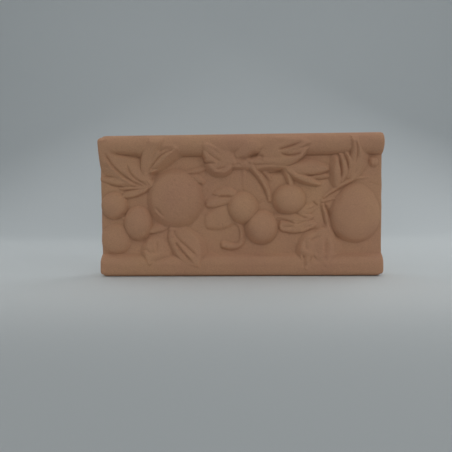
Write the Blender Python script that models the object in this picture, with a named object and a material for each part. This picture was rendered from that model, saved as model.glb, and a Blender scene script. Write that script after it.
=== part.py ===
"""Unglazed terracotta border tile with a fruit and leaf garland in high relief.

The tile stands upright: its length runs along X, its height along Z, its face looks towards -Y and its flat back
lies in the plane y = 0, with the origin at the middle of the back. Sizes below are in millimetres, the model is in
metres. The body is a thin slab with a half-round roll along its top and its bottom edge. The garland is pressed from
the same clay, so the whole tile is one closed solid. Its forms (fruits, leaves, twigs) are laid one after the other on
a sheet of heights above the flat field, each where it is higher than what is already there.
"""
import math

import bmesh
import bpy
import numpy as np

# Body
LENGTH = 152.0            # along the course
HEIGHT = 76.8             # across the course
FIELD = 7.5               # thickness at the flat field
ROLL_RADIUS = 6.1         # half-round rolls along both long edges
ROLL_RISE = 4.15          # crest of a roll above the field
FILLET_TOP = 0.3          # crisp line under the upper roll
FILLET_FOOT = 1.6         # soft hollow above the lower roll

# Keying grooves along the back
GROOVE_PLACES = (-27.5, -16.5, -5.5, 5.5, 16.5, 27.5)
GROOVE_MOUTH = 4.0
GROOVE_FLOOR = 3.0
GROOVE_DEPTH = 0.8

# Mesh
STEP = 0.5                # spacing of the height sheet
SOFTEN = 1                # rounds of softening, as a moulded clay edge has
FRONT_TRIANGLES = 8200

# Finish
CLAY = (0.372, 0.214, 0.129, 1.0)
ROUGHNESS = 0.88


def sweep(start, middle, end, steps=24):
    """Points along the parabola that runs from start through middle to end."""
    a, m, b = (np.array(p, float) for p in (start, middle, end))
    pull = 2 * m - (a + b) / 2
    t = np.linspace(0, 1, steps + 1)
    k = t[:, None]
    return t, (1 - k) ** 2 * a + 2 * k * (1 - k) * pull + k * k * b


def along(x, z, start, middle, end):
    """For each place: how far along the curve it lies (0 to 1) and how far to the left of it."""
    t, p = sweep(start, middle, end)
    near = np.full(x.shape, 1e9)
    part = np.zeros(x.shape)
    side = np.zeros(x.shape)
    for i in range(len(t) - 1):
        run = p[i + 1] - p[i]
        f = np.clip(((x - p[i][0]) * run[0] + (z - p[i][1]) * run[1]) / (run @ run), 0, 1)
        dx, dz = x - p[i][0] - f * run[0], z - p[i][1] - f * run[1]
        d = dx * dx + dz * dz
        new = d < near
        near = np.where(new, d, near)
        part = np.where(new, t[i] + f * (t[i + 1] - t[i]), part)
        side = np.where(new, np.where(run[0] * dz - run[1] * dx >= 0, 1, -1) * np.sqrt(d), side)
    return part, side


def profile(a, b, c, t):
    """A height that is a at the start, b half way and c at the end."""
    return a * (1 - t) * (1 - 2 * t) + 4 * b * t * (1 - t) + c * t * (2 * t - 1)


def merge(a, b, fillet):
    """The higher of two surfaces, with a small fillet where they meet."""
    h = np.clip(0.5 + 0.5 * (a - b) / fillet, 0, 1)
    return b * (1 - h) + a * h + fillet * h * (1 - h)


def dome(q, steep):
    """A ball's height over its radius at q, carried on as a straight flank beyond steep."""
    s = math.sqrt(1 - steep * steep)
    return np.where(q < steep, np.sqrt(np.maximum(0, 1 - np.minimum(q, steep) ** 2)), s - steep / s * (q - steep))


class Sheet:
    """Heights above the field over a net of x and z lines."""

    def __init__(self, xs, zs):
        self.xs, self.zs = np.asarray(xs, float), np.asarray(zs, float)
        self.x, self.z = np.meshgrid(self.xs, self.zs)
        centre = HEIGHT / 2 - ROLL_RADIUS

        def roll(dz):
            round_part = np.sqrt(np.maximum(ROLL_RADIUS ** 2 - dz ** 2, 0)) + ROLL_RISE - ROLL_RADIUS
            return np.where(np.abs(dz) <= ROLL_RADIUS, round_part, -9.0)

        upper, lower = roll(self.z - centre), roll(self.z + centre)
        field = np.zeros(self.x.shape)
        body = np.where(self.z > 0, merge(upper, field, FILLET_TOP), merge(lower, field, FILLET_FOOT))
        edge = np.abs(self.z) >= centre
        self.body = np.where(edge, np.maximum(np.maximum(upper, lower), ROLL_RISE - ROLL_RADIUS), body)
        self.h = self.body.copy()

    def window(self, points, margin):
        p = np.array(points, float)
        lo, hi = p.min(0) - margin, p.max(0) + margin
        i = np.searchsorted(self.xs, (lo[0], hi[0]))
        j = np.searchsorted(self.zs, (lo[1], hi[1]))
        return slice(j[0], j[1]), slice(i[0], i[1])

    def lay(self, where, h, fillet):
        """Lays a form on the sheet. Over the outer edge of a roll every form dies away."""
        over = np.abs(self.z[where])
        h = h - 4.0 * np.maximum(0, over - 33.5) - 0.35 * np.maximum(0, over - 31.0) ** 2
        old = self.h[where]
        self.h[where] = np.maximum(old, merge(h, old, fillet))

    def leaf(self, base, middle, tip, left, right, rise, fall=(0.8, 0.8), widest=0.5, rib=0.0, puff=0.2,
             blunt=0.0, broad=0.0, wall=3.0, fillet=0.3):
        """A blade from base to tip. left, right: its half widths. rise: midrib heights at base, middle and tip.
        fall: drop from midrib to edge on each side. widest: how far along. blunt, broad: share of the width that
        tip and base keep. wall: steepness of the cut edge."""
        where = self.window((base, middle, tip), max(left, right) * 1.15 + 4)
        t, d = along(self.x[where], self.z[where], base, middle, tip)
        half = np.where(d > 0, left, right)
        shape = np.where(t < widest,
                         broad + (1 - broad) * np.sqrt(np.maximum(0, 1 - (1 - np.minimum(t / widest, 1)) ** 2)),
                         blunt + (1 - blunt) * (1 - ((np.maximum(t, widest) - widest) / (1 - widest)) ** 2))
        w = half * np.maximum(shape, 1e-3)
        q = np.minimum(np.abs(d) / w, 1)
        h = profile(*rise, t)
        h = h - np.where(d > 0, fall[0], fall[1]) * q ** 2 * np.clip(shape * 1.3, 0, 1)
        h = h + puff * np.sin(np.pi * q) * np.clip(shape * 1.5, 0, 1)
        h = h - rib * np.exp(-(d / 0.65) ** 2) * np.clip(shape * 2, 0, 1)
        self.lay(where, h - wall * np.maximum(0, np.abs(d) - w), fillet)

    def twig(self, start, middle, end, thick, rise, fillet=0.5):
        """A round twig. thick: half widths at its two ends. rise: crest heights at its two ends."""
        where = self.window((start, middle, end), max(thick) + 4)
        t, d = along(self.x[where], self.z[where], start, middle, end)
        w = thick[0] + (thick[1] - thick[0]) * t
        self.lay(where, rise[0] + (rise[1] - rise[0]) * t - 0.9 * w * (1 - dome(np.abs(d) / w, 0.88)), fillet)

    def fruit(self, centre, radii, rise, sunk=0.5, turn=0.0, pear=0.0, lean=(0.0, 0.0), steep=0.92, fillet=0.4):
        """A round fruit part sunk in the ground. sunk: its middle below the field. lean: how far its rim lifts
        towards +x and +z. pear: how much it narrows upwards."""
        where = self.window((centre,), max(radii) * 1.25 + 2)
        a = math.radians(turn)
        dx, dz = self.x[where] - centre[0], self.z[where] - centre[1]
        u, v = dx * math.cos(a) + dz * math.sin(a), dz * math.cos(a) - dx * math.sin(a)
        q = np.sqrt((u / (radii[0] * (1 - pear * np.clip(v / radii[1], -1, 1)))) ** 2 + (v / radii[1]) ** 2)
        h = (rise + sunk) * dome(q, steep) - sunk + lean[0] * u / radii[0] + lean[1] * v / radii[1]
        self.lay(where, h, fillet)

    def crease(self, start, middle, end, wide, deep, fade=(0.2, 0.3)):
        """A soft groove, or a soft ridge where deep is negative, fading in and out over parts of its length."""
        where = self.window((start, middle, end), wide * 3 + 1)
        t, d = along(self.x[where], self.z[where], start, middle, end)
        f = np.clip(t / fade[0], 0, 1) * np.clip((1 - t) / fade[1], 0, 1)
        self.h[where] -= deep * np.exp(-(d / wide) ** 2) * f

    def soften(self, rounds):
        """Softens the relief, but not the body's own rolls."""
        r = self.h - self.body
        for _ in range(rounds):
            r[1:-1] = (r[:-2] + 2 * r[1:-1] + r[2:]) / 4
            r[:, 1:-1] = (r[:, :-2] + 2 * r[:, 1:-1] + r[:, 2:]) / 4
        self.h = self.body + r


def garland(s):
    """The garland, from left to right, lowest forms first within each group."""
    # Left end: a long lobed leaf that climbs over the upper roll, with two narrow leaflets under it
    s.leaf((-48.5, 10.5), (-64, 17), (-77, 33), 7, 12, (1.5, 1.9, 4.6), (0.9, 1.6), 0.6, rib=0.6, blunt=0.5, fillet=0.4)
    s.leaf((-49, 10), (-57, 9.5), (-65.5, 9.5), 1, 1, (1.4, 1.2, 0.8), (0.4, 0.4), puff=0, wall=2.2, fillet=0.2)
    s.leaf((-49, 9), (-56, 7.5), (-63, 5.5), 1.5, 1.5, (1.3, 1.5, 1.3), (0.4, 0.4), 0.6, puff=0, blunt=0.3, fillet=0.2)
    # The folded leaf above the largest fruit
    s.leaf((-51, 15.5), (-45.5, 24.5), (-32, 30.5), 6.5, 6.5, (1.2, 4.2, 5.2), (1.6, 3.6), 0.45, rib=0.2, puff=0.3)
    s.crease((-32.5, 30.5), (-41, 28.5), (-49, 17.5), 0.8, 0.5, (0.3, 0.2))
    s.crease((-51, 17), (-47, 17), (-43.5, 18), 0.8, 0.6)
    # Two leaves that reach left from the middle, one over the other
    s.leaf((-1.5, -5), (-10, -6), (-19, -8), 5.5, 5.5, (0.9, 1.0, 0.9), (0.3, 0.2), 0.6, puff=0.1, blunt=0.7, fillet=0.2)
    s.leaf((-2.5, 2), (-10.5, 1.5), (-19.5, 1), 3.2, 2.8, (1.5, 1.8, 1.8), (0.5, 0.6), 0.7, puff=0.1, blunt=0.5,
           fillet=0.2)
    # The pair of leaves at the left end of the main twig, and the pair above its middle
    s.leaf((-4.5, 21), (-11.5, 26.5), (-20, 31), 3.2, 5.5, (2.6, 3.9, 4.9), (0.5, 0.9), 0.55, blunt=0.45)
    s.leaf((-4.5, 20), (-12.5, 21), (-20.5, 24.5), 5.5, 2.8, (2.6, 3.0, 3.2), (0.9, 0.5), 0.55, blunt=0.4, fillet=0.2)
    s.leaf((10.5, 29.5), (3.5, 28.5), (-3.5, 28.5), 4.3, 2.7, (4.2, 4.8, 3.6), (2.4, 0.5), puff=0, blunt=0.4, wall=2.2,
           fillet=0.4)
    s.twig((-3, 33), (-0.5, 31.5), (2.5, 28), (1.1, 1.1), (4.6, 4.9))
    s.leaf((14.5, 25), (25, 24), (36, 26.5), 3.2, 3, (3.0, 3.4, 2.8), (0.6, 1.0), fillet=0.2)
    s.leaf((13, 26), (24, 29), (37.5, 33.5), 5.5, 3.5, (3.4, 4.9, 5.0), (0.8, 0.9), 0.42, rib=0.5, puff=0.3)
    # Leaves right of the middle
    s.leaf((35.5, 16), (41.5, 15.5), (48.5, 16), 2.2, 2.4, (1, 1, 1), (0.3, 0.3), puff=0, wall=2.2, fillet=0.2)
    s.leaf((25, 21), (36, 19.5), (49, 20), 6.5, 3.8, (2.2, 2.3, 1.6), (2.0, 0.6), blunt=0.3)
    s.leaf((25, 20.5), (32.5, 15), (42.5, 9.5), 1.6, 2.4, (2.6, 2.6, 1.4), (0.5, 1.4), 0.4, puff=0, fillet=0.2)
    # Upright leaves at the right, over the upper roll
    s.leaf((53, 8.5), (51, 18), (52, 29.5), 3, 3.8, (1.2, 3.0, 3.4), (1.2, 1.0), blunt=0.7, broad=0.4, wall=1.6)
    s.twig((56.5, 13.5), (56.5, 20.5), (53, 27), (1.2, 1.1), (1.8, 3.0))
    s.leaf((60, 13.5), (62, 24), (60, 35), 4.3, 3.8, (1.4, 3.0, 5.1), (0.8, 0.9), 0.45, rib=0.3)
    s.crease((52, 26), (54, 21), (54.5, 13.5), 0.8, 0.9)
    s.crease((54.5, 27), (57, 23.5), (57.5, 18.5), 0.8, 0.8)
    # Leaves left of the right-hand fruit, the lowest one running down over the lower roll
    s.leaf((43, -0.5), (35.5, -2.5), (27, -3.5), 3.2, 2.7, (1.3, 1.4, 0.9), (0.5, 0.4), puff=0.1, blunt=0.3, fillet=0.2)
    s.leaf((45, -11), (32.5, -12), (20, -11), 3.8, 5.5, (1.2, 1.3, 1.2), (0.5, 0.3), 0.55, puff=0.1, blunt=0.6,
           fillet=0.2)
    s.leaf((48, -13.5), (42, -23), (34.5, -35), 9, 8.5, (1.2, 2.3, 5.3), (0.4, 0.8), 0.45, puff=0.1, wall=1.6)
    # Leaves under the largest fruit, both running down over the lower roll
    s.leaf((-40, -11.5), (-45.5, -13.5), (-52, -15.5), 2.7, 2.7, (1.0, 1.0, 0.8), (0.3, 0.3), puff=0)
    s.leaf((-42.5, -14.5), (-47, -22), (-50, -32.5), 6, 4.8, (0.7, 2.0, 5.4), (0.8, 0.5), puff=0)
    s.leaf((-36, -13), (-30.5, -24), (-21.5, -35), 8, 8.5, (1.0, 2.4, 5.4), (1.0, 0.6), puff=0, wall=2.5)
    s.crease((-36.5, -16.5), (-31.5, -24.5), (-24, -33.5), 0.7, 0.6)
    s.crease((-35, -13), (-29.5, -21), (-22, -29.5), 0.7, 0.6)
    # Main twig and its side twigs
    s.leaf((8, 20), (16.5, 20), (25, 20), 0.8, 2.3, (2.8, 3.2, 2.8), (0.3, 1.8), puff=0, fillet=0.2)
    s.twig((-12, 22.5), (-1.5, 22), (12, 21.5), (1.4, 1.8), (2.6, 2.6))
    s.twig((9, 23.5), (18.5, 21.5), (28, 19), (1.2, 1.1), (2.8, 2.6))
    s.twig((7, 20.5), (14.5, 8.5), (12.5, -4), (1.3, 1.3), (2.2, 1.8))
    s.twig((2, 19.5), (2.5, 14), (2.5, 8), (1.3, 1.3), (0.4, 0.4))
    s.twig((12, 20), (15.5, 16), (17.5, 11), (1.1, 0.8), (1.6, 0.8))
    s.twig((24, 20), (26.5, 15.5), (27.5, 9.5), (1.3, 1.0), (2.4, 1.6))
    # Right-hand twig, its forks, and the calyx stub at the far right
    s.twig((40, 1), (50, 6.5), (63, 14), (1.1, 1.0), (2.0, 2.0))
    s.twig((43, 1), (48, 2.5), (52.5, 2), (0.9, 0.8), (1.8, 1.2))
    s.twig((44, 0), (45.5, -6.5), (48.5, -15), (1.2, 2.1), (2.0, 1.8))
    s.twig((39, 2.5), (40.5, 1), (42.5, -1), (0.9, 0.9), (1.8, 1.8))
    s.twig((47.5, -11.5), (49.5, -16), (53.5, -22.5), (1.9, 1.3), (1.6, 0.6))
    s.twig((65.5, 14), (70.5, 13.5), (76.5, 12), (1.0, 1.2), (1.0, 0.9))
    # The tendril under the middle fruits
    s.twig((-3.5, -8.5), (0.5, -13), (1, -18), (1.3, 1.2), (1.2, 1.4))
    s.twig((1, -18), (-3.5, -22.5), (-10.5, -21), (1.2, 1.1), (1.4, 1.2))
    # Small calyx left of the main twig
    s.leaf((-16.5, 20), (-23.5, 19), (-30, 18), 1.3, 1.6, (1.4, 1.2, 1.0), (0.4, 0.4), puff=0, wall=2.2)
    s.fruit((-23, 14.5), (3.0, 3.2), 1.6, 0.4, steep=0.86)
    s.fruit((-19, 14.5), (2.2, 2.7), 1.4, 0.4, steep=0.86)
    # Fruits, from the largest at the left
    s.fruit((-34.5, 4), (14.7, 15.5), 6.0, lean=(-0.5, -0.7))
    s.fruit((-68.5, 0.5), (7.5, 7.4), 3.0, lean=(-0.4, -0.5))
    s.fruit((-67, -18), (8.7, 8.4), 2.0, 0.6)
    s.fruit((-56, -9), (7.9, 9.5), 4.8, 0.4, lean=(-0.5, -0.5))
    s.fruit((2, -1), (8.5, 8.7), 3.8, 0.6, lean=(-0.2, -0.6))
    s.fruit((11.5, -11.5), (8.4, 9.0), 5.0, 0.4, lean=(-0.6, -0.5))
    s.fruit((27, 3.5), (8.9, 8.1), 4.6, 0.4, lean=(-0.9, -0.6))
    s.fruit((62.5, -4), (13.3, 16.5), 5.0, 0.8, turn=-6, pear=0.14, lean=(-0.2, -0.6), steep=0.9)
    s.fruit((71, 23), (2.9, 3.2), 2.0, 0.3)


def relief_sheet():
    """Heights over the whole face, with closer lines where the rolls turn over to the edges."""
    across = LENGTH / 2
    flat = HEIGHT / 2 - ROLL_RADIUS
    xs = np.linspace(-across, across, int(round(2 * across / STEP)) + 1)
    turned = flat + ROLL_RADIUS * np.sin(np.radians(np.linspace(0, 90, 13)[1:]))
    zs = np.concatenate((-turned[::-1], np.linspace(-flat, flat, int(round(2 * flat / STEP)) + 1), turned))
    sheet = Sheet(xs, zs)
    garland(sheet)
    sheet.soften(SOFTEN)
    return sheet


def face_mesh(sheet):
    """The moulded face as an open grid, thinned where it is flat."""
    nx, nz = len(sheet.xs), len(sheet.zs)
    bm = bmesh.new()
    bmesh.ops.create_grid(bm, x_segments=nx - 1, y_segments=nz - 1, size=1.0)
    bm.verts.ensure_lookup_table()
    for j in range(nz):
        for i in range(nx):
            bm.verts[j * nx + i].co = (sheet.xs[i] * 0.001, -(FIELD + sheet.h[j, i]) * 0.001, sheet.zs[j] * 0.001)
    mesh = bpy.data.meshes.new("moulded_face")
    bm.to_mesh(mesh)
    bm.free()
    face = bpy.data.objects.new("moulded_face", mesh)
    bpy.context.scene.collection.objects.link(face)
    thin = face.modifiers.new("thin", "DECIMATE")
    thin.ratio = FRONT_TRIANGLES / (2.0 * (nx - 1) * (nz - 1))
    bpy.context.view_layer.update()
    bm = bmesh.new()
    bm.from_object(face, bpy.context.evaluated_depsgraph_get())
    bpy.data.objects.remove(face, do_unlink=True)
    bpy.data.meshes.remove(mesh, do_unlink=True)
    return bm


def close_body(bm):
    """Squares the rim of the face, draws it straight back to the plane y = 0 and closes the back."""
    rim = [e for e in bm.edges if len(e.link_faces) == 1]
    half_length, half_height, near = LENGTH * 0.0005, HEIGHT * 0.0005, 0.0004
    for v in {v for e in rim for v in e.verts}:
        if abs(abs(v.co.x) - half_length) < near:
            v.co.x = math.copysign(half_length, v.co.x)
        if abs(abs(v.co.z) - half_height) < near and v.co.y > -(FIELD + ROLL_RISE - ROLL_RADIUS + 0.3) * 0.001:
            v.co.z = math.copysign(half_height, v.co.z)
    drawn = bmesh.ops.extrude_edge_only(bm, edges=rim)["geom"]
    for v in (g for g in drawn if isinstance(g, bmesh.types.BMVert)):
        v.co.y = 0.0
    back = [g for g in drawn if isinstance(g, bmesh.types.BMEdge)]
    bmesh.ops.contextual_create(bm, geom=back)
    bmesh.ops.recalc_face_normals(bm, faces=bm.faces[:])


def groove_cutter():
    """The bars that cut the shallow keying grooves along the back."""
    bm = bmesh.new()
    reach = LENGTH / 2 + 3
    for z in GROOVE_PLACES:
        ends = []
        for x in (-reach, reach):
            wide = GROOVE_MOUTH / 2 + 0.5 * (GROOVE_MOUTH - GROOVE_FLOOR) / GROOVE_DEPTH
            corners = ((1.0, z - wide), (1.0, z + wide), (-GROOVE_DEPTH, z + GROOVE_FLOOR / 2),
                       (-GROOVE_DEPTH, z - GROOVE_FLOOR / 2))
            ends.append([bm.verts.new((x * 0.001, y * 0.001, c * 0.001)) for y, c in corners])
        for k in range(4):
            n = (k + 1) % 4
            bm.faces.new((ends[0][k], ends[0][n], ends[1][n], ends[1][k]))
        bm.faces.new(ends[0][::-1])
        bm.faces.new(ends[1])
    bmesh.ops.recalc_face_normals(bm, faces=bm.faces[:])
    mesh = bpy.data.meshes.new("keying_grooves")
    bm.to_mesh(mesh)
    bm.free()
    cutter = bpy.data.objects.new("keying_grooves", mesh)
    bpy.context.scene.collection.objects.link(cutter)
    cutter.hide_render = True
    cutter.display_type = "WIRE"
    return cutter


def clay():
    material = bpy.data.materials.new("terracotta")
    material.use_nodes = True
    shader = material.node_tree.nodes["Principled BSDF"]
    shader.inputs["Base Color"].default_value = CLAY
    shader.inputs["Roughness"].default_value = ROUGHNESS
    shader.inputs["Metallic"].default_value = 0.0
    material.diffuse_color = CLAY
    return material


def main():
    for old in list(bpy.data.objects):
        bpy.data.objects.remove(old, do_unlink=True)
    bm = face_mesh(relief_sheet())
    close_body(bm)
    mesh = bpy.data.meshes.new("tile")
    bm.to_mesh(mesh)
    bm.free()
    mesh.shade_smooth()
    mesh.set_sharp_from_angle(angle=math.radians(40))
    mesh.materials.append(clay())
    tile = bpy.data.objects.new("tile", mesh)
    bpy.context.scene.collection.objects.link(tile)
    cut = tile.modifiers.new("keying_grooves", "BOOLEAN")
    cut.operation = "DIFFERENCE"
    cut.solver = "EXACT"
    cut.object = groove_cutter()


main()
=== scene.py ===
import math

import bmesh
import bpy
import numpy as np
from mathutils import Matrix, Vector


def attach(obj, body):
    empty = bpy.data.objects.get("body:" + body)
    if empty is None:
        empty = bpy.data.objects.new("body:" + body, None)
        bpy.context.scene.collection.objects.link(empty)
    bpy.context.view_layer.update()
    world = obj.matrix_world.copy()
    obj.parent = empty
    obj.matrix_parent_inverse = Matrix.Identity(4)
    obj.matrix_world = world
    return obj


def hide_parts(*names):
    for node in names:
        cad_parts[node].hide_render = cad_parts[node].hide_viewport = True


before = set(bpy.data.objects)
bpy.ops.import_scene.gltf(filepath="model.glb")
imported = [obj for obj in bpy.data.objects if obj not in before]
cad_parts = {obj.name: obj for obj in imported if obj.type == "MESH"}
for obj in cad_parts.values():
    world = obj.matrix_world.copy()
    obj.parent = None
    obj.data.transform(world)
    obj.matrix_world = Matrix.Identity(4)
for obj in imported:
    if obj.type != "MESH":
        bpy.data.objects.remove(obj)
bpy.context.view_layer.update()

# Body
LENGTH = 152.0
HEIGHT = 76.8
FIELD = 7.5
ROLL_RADIUS = 6.1
ROLL_RISE = 4.15
FILLET_TOP = 0.3
FILLET_FOOT = 1.6
SQUARISH = 4.5            # how square the lower roll's outer side is, where 2 is round
QUIRK_PLACE = 27.1        # narrow sunk line under the upper roll
QUIRK_WIDTH = 1.5
QUIRK_DEPTH = 1.1
ARRIS = 0.9               # worn edges at the tile's cut ends
CORNERS = {(-1, 1): 3.1, (1, 1): 0.9, (-1, -1): 3.0, (1, -1): 3.3}    # rounded corners, left or right, low or high

# Keying grooves along the back
GROOVE_PLACES = (-27.5, -16.5, -5.5, 5.5, 16.5, 27.5)
GROOVE_MOUTH = 4.0
GROOVE_FLOOR = 3.0
GROOVE_DEPTH = 0.8

# Mesh
STEP = 0.25
FRONT_TRIANGLES = 186000
SOFTEN_MM = 0.2           # how far a moulded clay edge is softened

# The eye: where the camera stands, in millimetres, and how it is turned. The garland is set out in the picture
# that it sees, 452 units wide and high, with its own heights and widths in millimetres.
EYE = (-0.3, -224.9, -1.5)
EYE_TURN = (Matrix.Rotation(math.radians(1.93), 3, "Z") @ Matrix.Rotation(math.radians(-2.58), 3, "X")
            @ Matrix.Rotation(math.radians(0.47), 3, "Y"))


def sweep(start, middle, end, steps=24):
    """Points along the parabola that runs from start through middle to end."""
    a, m, b = (np.array(p, float) for p in (start, middle, end))
    pull = 2 * m - (a + b) / 2
    t = np.linspace(0, 1, steps + 1)
    k = t[:, None]
    return t, (1 - k) ** 2 * a + 2 * k * (1 - k) * pull + k * k * b


def along(x, z, start, middle, end):
    """For each place: how far along the curve it lies (0 to 1), how far to the left of it, and how much it lies
    on the curve's upper right side (0 to 1), where the mould's forms run out softly."""
    t, p = sweep(start, middle, end)
    near = np.full(x.shape, 1e9)
    part, side, lit = np.zeros(x.shape), np.zeros(x.shape), np.zeros(x.shape)
    for i in range(len(t) - 1):
        run = p[i + 1] - p[i]
        f = np.clip(((x - p[i][0]) * run[0] + (z - p[i][1]) * run[1]) / (run @ run), 0, 1)
        dx, dz = x - p[i][0] - f * run[0], z - p[i][1] - f * run[1]
        d = dx * dx + dz * dz
        new = d < near
        near = np.where(new, d, near)
        part = np.where(new, t[i] + f * (t[i + 1] - t[i]), part)
        side = np.where(new, np.where(run[0] * dz - run[1] * dx >= 0, 1, -1) * np.sqrt(d), side)
        lit = np.where(new, (0.6 * dx + 0.8 * dz) / np.sqrt(d + 0.01), lit)
    return part, side, np.clip(0.45 + 1.1 * lit, 0, 1)


def profile(a, b, c, t):
    """A height that is a at the start, b half way and c at the end."""
    return a * (1 - t) * (1 - 2 * t) + 4 * b * t * (1 - t) + c * t * (2 * t - 1)


def merge(a, b, fillet):
    """The higher of two surfaces, with a small fillet where they meet."""
    h = np.clip(0.5 + 0.5 * (a - b) / fillet, 0, 1)
    return b * (1 - h) + a * h + fillet * h * (1 - h)


def blurred(a, rounds):
    """The same heights, evened out over their neighbours."""
    a = a.copy()
    for _ in range(rounds):
        a[1:-1] = (a[:-2] + 2 * a[1:-1] + a[2:]) / 4
        a[:, 1:-1] = (a[:, :-2] + 2 * a[:, 1:-1] + a[:, 2:]) / 4
    return a


def dome(q, steep):
    """A ball's height over its radius at q, carried on as a straight flank beyond steep."""
    s = math.sqrt(1 - steep * steep)
    return np.where(q < steep, np.sqrt(np.maximum(0, 1 - np.minimum(q, steep) ** 2)), s - steep / s * (q - steep))


class Sheet:
    """Heights above the field over a net of x and z lines. Forms are set out where the eye sees them."""

    def __init__(self, xs, zs):
        self.xs, self.zs = np.asarray(xs, float), np.asarray(zs, float)
        self.x, self.z = np.meshgrid(self.xs, self.zs)
        centre = HEIGHT / 2 - ROLL_RADIUS
        upper, lower = self.roll(self.z - centre, 2.0), self.roll(-self.z - centre, SQUARISH)
        field = np.zeros(self.x.shape)
        quirk = self.z - QUIRK_PLACE
        field -= QUIRK_DEPTH * np.exp(-(quirk / np.where(quirk > 0, QUIRK_WIDTH, 0.4 * QUIRK_WIDTH)) ** 2)
        body = np.where(self.z > 0, merge(upper, field, FILLET_TOP), merge(lower, field, FILLET_FOOT))
        edge = np.abs(self.z) >= centre
        self.body = np.where(edge, np.maximum(np.maximum(upper, lower), ROLL_RISE - ROLL_RADIUS), body)
        self.h = self.body.copy()

    @staticmethod
    def roll(out, outer):
        """A roll's height, round on its inner side. outer: 2 for a round outer side, more for a squarer one."""
        power = np.where(out > 0, outer, 2.0)
        share = np.maximum(1 - np.minimum(np.abs(out) / ROLL_RADIUS, 1) ** power, 0)
        return np.where(np.abs(out) <= ROLL_RADIUS, ROLL_RADIUS * share ** (1 / power) + ROLL_RISE - ROLL_RADIUS, -9.0)

    def spot(self, seen, up=None):
        """The x and z of the place that the eye sees there, at a height above the field or on the sheet itself."""
        across, down = seen
        ray = EYE_TURN @ Vector(((across + 0.5 - 226) / 400, 1, -(down + 0.5 - 226) / 400))
        h = 0.0 if up is None else up
        for _ in range(1 if up is not None else 5):
            reach = (EYE[1] + FIELD + h) / -ray.y
            x, z = EYE[0] + reach * ray.x, EYE[2] + reach * ray.z
            if up is None:
                i = min(int(np.searchsorted(self.xs, x)), len(self.xs) - 1)
                j = min(int(np.searchsorted(self.zs, z)), len(self.zs) - 1)
                h = float(self.h[j, i])
        return x, z

    def window(self, points, margin):
        p = np.array(points, float)
        lo, hi = p.min(0) - margin, p.max(0) + margin
        i = np.searchsorted(self.xs, (lo[0], hi[0]))
        j = np.searchsorted(self.zs, (lo[1], hi[1]))
        return slice(j[0], j[1]), slice(i[0], i[1])

    def lay(self, where, h, fillet):
        """Lays a form on the sheet. Over a roll every form is a thin skin that dies away at the outer edge."""
        over = np.abs(self.z[where])
        skin = 1.7 - 0.22 * np.maximum(0, over - 31) - 1.2 * np.maximum(0, over - 36)
        h = np.where(over > 30, np.minimum(h, self.body[where] + skin), h)
        old = self.h[where]
        self.h[where] = np.maximum(old, merge(h, old, fillet))

    def leaf(self, base, middle, tip, left, right, rise, fall=(0.8, 0.8), widest=0.5, puff=0.2,
             blunt=0.0, broad=0.0, wall=3.0, soft=0.8, fillet=0.3):
        """A blade from base to tip. left, right: its half widths. rise: midrib heights at base, middle and tip.
        fall: drop from midrib to edge on each side. widest: how far along. blunt, broad: share of the width that
        tip and base keep. wall, soft: steepness of the edge on the lower left and on the upper right."""
        base, middle, tip = (self.spot(p, up) for p, up in zip((base, middle, tip), rise))
        where = self.window((base, middle, tip), max(left, right) * 1.15 + 4)
        t, d, lit = along(self.x[where], self.z[where], base, middle, tip)
        half = np.where(d > 0, left, right)
        shape = np.where(t < widest,
                         broad + (1 - broad) * np.sqrt(np.maximum(0, 1 - (1 - np.minimum(t / widest, 1)) ** 2)),
                         blunt + (1 - blunt) * (1 - ((np.maximum(t, widest) - widest) / (1 - widest)) ** 2))
        w = half * np.maximum(shape, 1e-3)
        q = np.minimum(np.abs(d) / w, 1)
        h = profile(*rise, t)
        h = h - np.where(d > 0, fall[0], fall[1]) * q ** 2 * np.clip(shape * 1.3, 0, 1)
        h = h + puff * np.sin(np.pi * q) * np.clip(shape * 1.5, 0, 1)
        self.lay(where, h - (wall + (soft - wall) * lit) * np.maximum(0, np.abs(d) - w), fillet)

    def twig(self, start, middle, end, thick, rise, fillet=0.5):
        """A round twig. thick: half widths at its two ends. rise: crest heights at its two ends."""
        heights = (rise[0], (rise[0] + rise[1]) / 2, rise[1])
        start, middle, end = (self.spot(p, up) for p, up in zip((start, middle, end), heights))
        where = self.window((start, middle, end), max(thick) + 4)
        t, d, lit = along(self.x[where], self.z[where], start, middle, end)
        w = (thick[0] + (thick[1] - thick[0]) * t) * (1 + 0.5 * lit)
        self.lay(where, rise[0] + (rise[1] - rise[0]) * t - 0.9 * w * (1 - dome(np.abs(d) / w, 0.88)), fillet)

    def fruit(self, centre, radii, rise, sunk=0.5, turn=0.0, pear=0.0, lean=(0.0, 0.0), steep=0.92, fillet=0.4):
        """A round fruit part sunk in the ground. sunk: its middle below the field. lean: how far its rim lifts
        towards +x and +z. pear: how much it narrows upwards."""
        centre = self.spot(centre, 0.4 * rise)
        where = self.window((centre,), max(radii) * 1.25 + 2)
        a = math.radians(turn)
        dx, dz = self.x[where] - centre[0], self.z[where] - centre[1]
        u, v = dx * math.cos(a) + dz * math.sin(a), dz * math.cos(a) - dx * math.sin(a)
        q = np.sqrt((u / (radii[0] * (1 - pear * np.clip(v / radii[1], -1, 1)))) ** 2 + (v / radii[1]) ** 2)
        h = (rise + sunk) * dome(q, steep) - sunk + lean[0] * u / radii[0] + lean[1] * v / radii[1]
        self.lay(where, h, fillet)

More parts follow.
